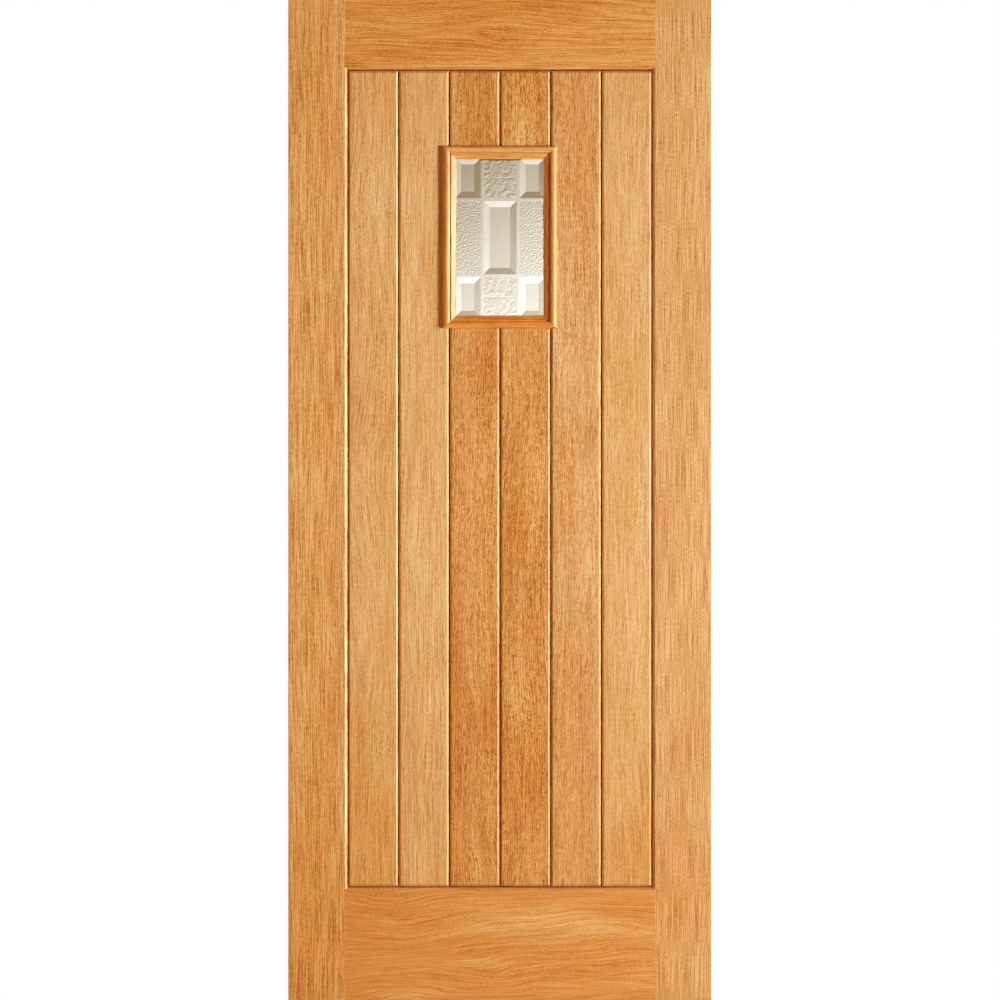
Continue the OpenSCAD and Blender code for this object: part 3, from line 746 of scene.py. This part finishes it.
class DOOR_OT_stage(bpy.types.Operator):
    """Camera, lamps, white surroundings, pale floor and the glowing card of painted light behind the
    glass
    """

    bl_idname = "door.stage"
    bl_label = "Set the stage"

    def execute(self, context):
        stage = context.scene.door_stage
        context.scene.view_settings.view_transform = "Standard"
        self.add_camera(context, stage)
        self.add_world(context)
        # From the right, with a grid that dims it towards the ends of the leaf
        key = self.add_lamp(context, "Key", (58, -6), 7.0, (1.2, 1.2), 149, WHITE)
        key.data.spread = math.radians(80)
        # Warm light from the left, in the slopes that the key leaves dark
        self.add_lamp(context, "Fill", (-62, 0), 6.0, (2.0, 2.0), 124, WARM)
        # Only mirrored, in the oil on the edges and slopes that face it
        shine = self.add_lamp(context, "Edge shine", (76, 0), 2.2, (1.2, 2.6), 120, WHITE)
        shine.visible_diffuse = False
        shine.visible_transmission = False
        # For views of the back, and kept out of the glass
        behind = self.add_lamp(context, "Back light", (140, 18), 6.0, (2.0, 2.0), 200, WHITE)
        behind.visible_transmission = False
        behind.visible_glossy = False
        self.add_dark_side(context)
        self.add_floor(context)
        self.add_card(context, stage)
        return {"FINISHED"}

    def add_camera(self, context, stage):
        """Level with the middle of the leaf and square to it."""
        data = bpy.data.cameras.new("Camera")
        data.lens = stage.lens
        half_angle = math.atan(data.sensor_width / 2 / data.lens)
        distance = stage.shown_height / 2 / math.tan(half_angle)
        camera = bpy.data.objects.new("Camera", data)
        camera.location = (0, LEAF[0].y - distance, LEAF_H / 2)
        camera.rotation_euler = (math.radians(90), 0, 0)
        context.scene.collection.objects.link(camera)
        context.scene.camera = camera

    def add_world(self, context):
        """White to the camera, in reflections and through glass, and dim and warm everywhere else."""
        world = bpy.data.worlds.new("White surroundings")
        world.use_nodes = True
        context.scene.world = world
        tree = world.node_tree
        tree.nodes.clear()
        path = add(tree, "ShaderNodeLightPath")
        seen = add(tree, "ShaderNodeMath", {"operation": "MAXIMUM"}, links={
            0: path.outputs["Is Camera Ray"], 1: path.outputs["Is Transmission Ray"]})
        seen = add(tree, "ShaderNodeMath", {"operation": "MAXIMUM"}, links={
            0: seen.outputs[0], 1: path.outputs["Is Glossy Ray"]})
        fill = add(tree, "ShaderNodeBackground", values={
            "Color": opaque(linear(WARM)), "Strength": WARM_STRENGTH})
        white = add(tree, "ShaderNodeBackground", values={
            "Color": opaque(linear(WHITE)), "Strength": 1.0})
        both = add(tree, "ShaderNodeMixShader", links={
            0: seen.outputs[0], 1: fill.outputs[0], 2: white.outputs[0]})
        add(tree, "ShaderNodeOutputWorld", links={"Surface": both.outputs[0]})

    def add_lamp(self, context, name, angles, distance, size, watts, colour):
        """Area lamp aimed above the middle of the leaf.

        Its angles are degrees to the right of the leaf's front and above level. Its distance and size
        are metres.
        """
        right, up = (math.radians(angle) for angle in angles)
        data = bpy.data.lights.new(name, "AREA")
        data.shape = "RECTANGLE"
        data.size, data.size_y = size
        data.energy = watts
        data.color = linear(colour)
        lamp = bpy.data.objects.new(name, data)
        way = Vector((math.sin(right) * math.cos(up), -math.cos(right) * math.cos(up), math.sin(up)))
        lamp.location = Vector((0, 0, LAMP_AIM * LEAF_H)) + way * distance
        lamp.rotation_euler = way.to_track_quat("Z", "Y").to_euler()
        context.scene.collection.objects.link(lamp)
        return lamp

    def add_plane(self, context, name, corners, material):
        """Flat four-cornered piece of the stage."""
        mesh = bpy.data.meshes.new(name)
        mesh.from_pydata(corners, [], [(0, 1, 2, 3)])
        mesh.materials.append(material)
        plane = bpy.data.objects.new(name, mesh)
        context.scene.collection.objects.link(plane)
        return plane

    def add_upright(self, context, name, y, z, half, material):
        """Upright square of the stage, around a height above the middle of the leaf's foot."""
        low, high = z - half, z + half
        return self.add_plane(context, name, [
            (-half, y, low), (half, y, low), (half, y, high), (-half, y, high)], material)

    def add_floor(self, context):
        """Pale floor that ends at the front of the leaf, so that only white shows beside it."""
        material = speckled("Painted floor", "#c6c4c0", "#bdbbb6", 3 * MM, 0.01 * MM, Roughness=0.7)
        # The lamps stand level with the leaf and light the floor little, so the camera sees it paler
        tree = material.node_tree
        path = add(tree, "ShaderNodeLightPath")
        share = add(tree, "ShaderNodeMath", {"operation": "MULTIPLY"}, {1: FLOOR_WHITE}, {
            0: path.outputs["Is Camera Ray"]})
        white = add(tree, "ShaderNodeEmission", values={
            "Color": opaque(linear(WHITE)), "Strength": 1.0})
        paled = add(tree, "ShaderNodeMixShader", links={
            0: share.outputs[0], 1: tree.nodes["Principled BSDF"].outputs["BSDF"], 2: white.outputs[0]})
        tree.links.new(paled.outputs[0], tree.nodes["Material Output"].inputs["Surface"])
        side, front, back, z = FLOOR_SIDE, -FLOOR_FRONT, LEAF[0].y + FLOOR_BACK, -FLOOR_BELOW
        self.add_plane(context, "Floor", [
            (-side, front, z), (side, front, z), (side, back, z), (-side, back, z)], material)

    def add_dark_side(self, context):
        """Dim wall behind the camera, so that the glass and the oak have little white to mirror."""
        material = speckled("Painted wall", "#6f675b", "#665e53", 20 * MM, 0.1 * MM, Roughness=0.9)
        y = context.scene.camera.location.y - WALL_GAP
        wall = self.add_upright(context, "Dark side", y, LEAF_H / 2, WALL_HALF, material)
        wall.visible_camera = False
        wall.visible_diffuse = False
        wall.visible_shadow = False

    def add_card(self, context, stage):
        """Glowing card that only the glass shows, painted light dim at the top left and bright at the
        bottom right.
        """
        material = bpy.data.materials.new("Glowing card, painted light")
        material.use_nodes = True
        tree = material.node_tree
        tree.nodes.clear()
        place = add(tree, "ShaderNodeTexCoord")
        across = add(tree, "ShaderNodeVectorMath", {"operation": "SUBTRACT"}, {1: LIGHT_MIDDLE}, {
            0: place.outputs["Object"]})
        rise = add(tree, "ShaderNodeVectorMath", {"operation": "DOT_PRODUCT"}, {1: CARD_RISE}, {
            0: across.outputs[0]})
        grade = add(tree, "ShaderNodeMapRange", values={
            "From Min": CARD_DARKEST, "From Max": CARD_LIGHTEST}, links={
            "Value": rise.outputs["Value"]})
        tones = add(tree, "ShaderNodeValToRGB", links={"Fac": grade.outputs[0]})
        tones.color_ramp.elements[0].color = opaque(stage.card_dark)
        tones.color_ramp.elements[1].color = opaque(stage.card_light)
        tones.color_ramp.elements.new(CARD_MIDDLE).color = opaque(stage.card_middle)
        glow = add(tree, "ShaderNodeEmission", values={"Strength": CARD_STRENGTH}, links={
            "Color": tones.outputs["Color"]})
        add(tree, "ShaderNodeOutputMaterial", links={"Surface": glow.outputs[0]})
        y = LEAF[1].y + stage.card_gap
        card = self.add_upright(context, "Card", y, LIGHT_MIDDLE.z, CARD_HALF, material)
        card.visible_camera = False
        card.visible_diffuse = False
        card.visible_glossy = False
        card.visible_shadow = False


OPERATORS = (
    DOOR_OT_frame, DOOR_OT_boards, DOOR_OT_beads, DOOR_OT_clear_glass,
    DOOR_OT_textured_glass, DOOR_OT_inside, DOOR_OT_stage,
)
SETTINGS = {"door_oak": OakSettings, "door_glass": GlassSettings, "door_stage": StageSettings}


class DOOR_PT_panel(bpy.types.Panel):
    """Lists the steps that dress the leaf"""

    bl_idname = "DOOR_PT_panel"
    bl_label = "Door leaf"
    bl_space_type = "VIEW_3D"
    bl_region_type = "UI"
    bl_category = "Door leaf"

    def draw(self, context):
        for operator in OPERATORS:
            self.layout.operator(operator.bl_idname)
        for name, group in SETTINGS.items():
            box = self.layout.box()
            for key in group.__annotations__:
                box.prop(getattr(context.scene, name), key)


def register():
    """Make the settings, the operators and the panel known to Blender."""
    for cls in (*SETTINGS.values(), *OPERATORS, DOOR_PT_panel):
        bpy.utils.register_class(cls)
    for name, group in SETTINGS.items():
        setattr(bpy.types.Scene, name, PointerProperty(type=group))


def unregister():
    """Take them out again."""
    for name in SETTINGS:
        delattr(bpy.types.Scene, name)
    for cls in (DOOR_PT_panel, *reversed(OPERATORS), *reversed(SETTINGS.values())):
        bpy.utils.unregister_class(cls)


def main():
    """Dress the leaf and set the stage."""
    register()
    bpy.ops.door.frame()
    bpy.ops.door.boards()
    bpy.ops.door.beads()
    bpy.ops.door.clear_glass()
    bpy.ops.door.textured_glass()
    bpy.ops.door.inside()
    bpy.ops.door.stage()


if __name__ == "__main__":
    main()
